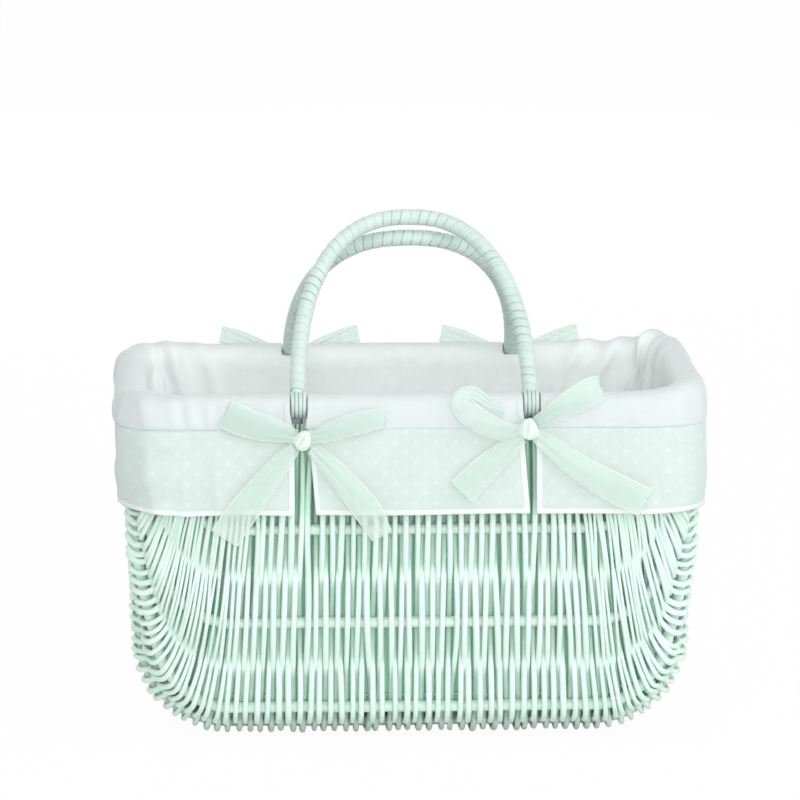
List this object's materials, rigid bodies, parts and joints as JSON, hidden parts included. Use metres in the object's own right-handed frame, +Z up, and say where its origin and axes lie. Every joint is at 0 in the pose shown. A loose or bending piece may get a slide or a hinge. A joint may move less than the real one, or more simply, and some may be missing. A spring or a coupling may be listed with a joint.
{
  "type": "wicker basket bag",
  "caption": "Oval willow basket with a cloth liner, a skirt over the rim, ribbon bows and a pair of cane-wrapped swing handles.",
  "frame": {"origin": "under the middle of the basket, on the surface it stands on", "axes": "+X along the basket's length, +Y to its rear side, +Z up"},
  "size_m": [0.453, 0.2865, 0.3978],
  "materials": {
    "mint_willow": "painted willow, satin",
    "mint_cane": "painted flat cane, satin",
    "white_cotton": "plain woven cotton",
    "mint_cotton": "fine voile over cotton",
    "mint_ribbon": "sheer woven ribbon"
  },
  "bodies": {
    "basket": {"rim_hoop": "mint_willow", "rib_front_upper": "mint_willow", "rib_front_middle": "mint_willow", "rib_base_front": "mint_willow", "rib_base_rear": "mint_willow", "rib_rear_middle": "mint_willow", "rib_rear_upper": "mint_willow", "front_weave": "mint_willow", "rear_weave": "mint_willow", "base_weave": "mint_willow", "left_end_weave": "mint_willow", "right_end_weave": "mint_willow", "liner_front": "white_cotton", "liner_rear": "white_cotton", "liner_left": "white_cotton", "liner_right": "white_cotton", "liner_floor": "white_cotton", "liner_front_left_gusset": "white_cotton", "liner_front_right_gusset": "white_cotton", "liner_rear_left_gusset": "white_cotton", "liner_rear_right_gusset": "white_cotton", "cuff_front": "white_cotton", "skirt_front": "mint_cotton", "cuff_rear": "white_cotton", "skirt_rear": "mint_cotton", "cuff_left": "white_cotton", "skirt_left": "mint_cotton", "cuff_right": "white_cotton", "skirt_right": "mint_cotton", "front_left_bow_knot": "mint_ribbon", "front_left_bow_left_loop": "mint_ribbon", "front_left_bow_right_loop": "mint_ribbon", "front_left_bow_left_tail": "mint_ribbon", "front_left_bow_right_tail": "mint_ribbon", "front_right_bow_knot": "mint_ribbon", "front_right_bow_left_loop": "mint_ribbon", "front_right_bow_right_loop": "mint_ribbon", "front_right_bow_left_tail": "mint_ribbon", "front_right_bow_right_tail": "mint_ribbon", "rear_left_bow_knot": "mint_ribbon", "rear_left_bow_left_loop": "mint_ribbon", "rear_left_bow_right_loop": "mint_ribbon", "rear_left_bow_left_tail": "mint_ribbon", "rear_left_bow_right_tail": "mint_ribbon", "rear_right_bow_knot": "mint_ribbon", "rear_right_bow_left_loop": "mint_ribbon", "rear_right_bow_right_loop": "mint_ribbon", "rear_right_bow_left_tail": "mint_ribbon", "rear_right_bow_right_tail": "mint_ribbon"},
    "front_handle": {"front_handle_core": "mint_willow", "front_handle_cane_wrap": "mint_cane", "front_handle_left_loop": "mint_cane", "front_handle_right_loop": "mint_cane"},
    "rear_handle": {"rear_handle_core": "mint_willow", "rear_handle_cane_wrap": "mint_cane", "rear_handle_left_loop": "mint_cane", "rear_handle_right_loop": "mint_cane"}
  },
  "joints": [
    {"name": "front_handle_swing", "type": "hinge", "parent": "basket", "child": "front_handle", "pos_m": [0, -0.121, 0.264], "axis": [1, 0, 0], "range_deg": [0, 122]},
    {"name": "rear_handle_swing", "type": "hinge", "parent": "basket", "child": "rear_handle", "pos_m": [0, 0.121, 0.264], "axis": [-1, 0, 0], "range_deg": [0, 116]}
  ]
}
